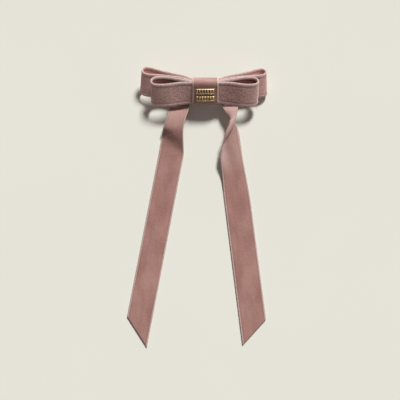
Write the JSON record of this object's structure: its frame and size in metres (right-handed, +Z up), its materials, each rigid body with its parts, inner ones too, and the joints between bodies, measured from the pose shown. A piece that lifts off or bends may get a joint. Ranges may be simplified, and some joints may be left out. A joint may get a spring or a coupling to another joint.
{
  "type": "barrette",
  "caption": "Velvet ribbon bow hair barrette: looped bow with long tails, gold trim on the knot and a French clasp with a squeeze catch.",
  "frame": {"origin": "on the table that the barrette lies on, under the middle of the whole object's box", "axes": "+Z up out of the table, +Y from the tails towards the bow, +X to the right seen from above"},
  "size_m": [0.0872, 0.1734, 0.0169],
  "materials": {
    "velvet": "dusty rose velvet",
    "lining": "matte grosgrain",
    "thread": "matte sewing thread",
    "gold": "polished gold plate",
    "clip_steel": "nickel-plated",
    "spring_steel": "bright spring steel",
    "pin_steel": "bright"
  },
  "bodies": {
    "bow": {"knot_band": "velvet", "front_loops": "velvet", "rear_loops": "velvet", "tail_left": "velvet", "tail_right": "velvet", "ornament_upper_bar": "gold", "ornament_lower_bar": "gold", "base_plate": "clip_steel", "lining_strip": "lining", "sewing_threads": "thread", "hinge_pin": "pin_steel", "tension_bar": "spring_steel", "catch_web": "spring_steel", "catch_rivets": "pin_steel"},
    "clasp_arm": {"clasp_arm": "clip_steel"},
    "catch_tab_upper": {"catch_tab_upper": "spring_steel"},
    "catch_tab_lower": {"catch_tab_lower": "spring_steel"}
  },
  "joints": [
    {"name": "clasp_hinge", "type": "hinge", "parent": "bow", "child": "clasp_arm", "pos_m": [0.03187, 0.07651, 0.00282], "axis": [0, -0.829, -0.5592], "range_deg": [0, 85]},
    {"name": "upper_tab_pinch", "type": "hinge", "parent": "bow", "child": "catch_tab_upper", "pos_m": [-0.02443, 0.07795, 0.00398], "axis": [-1, 0, 0], "range_deg": [0, 14], "stiffness_Nm_per_rad": 0.016},
    {"name": "lower_tab_pinch", "type": "hinge", "parent": "bow", "child": "catch_tab_lower", "pos_m": [-0.02443, 0.07489, 0.00191], "axis": [1, 0, 0], "range_deg": [0, 14], "stiffness_Nm_per_rad": 0.016}
  ]
}
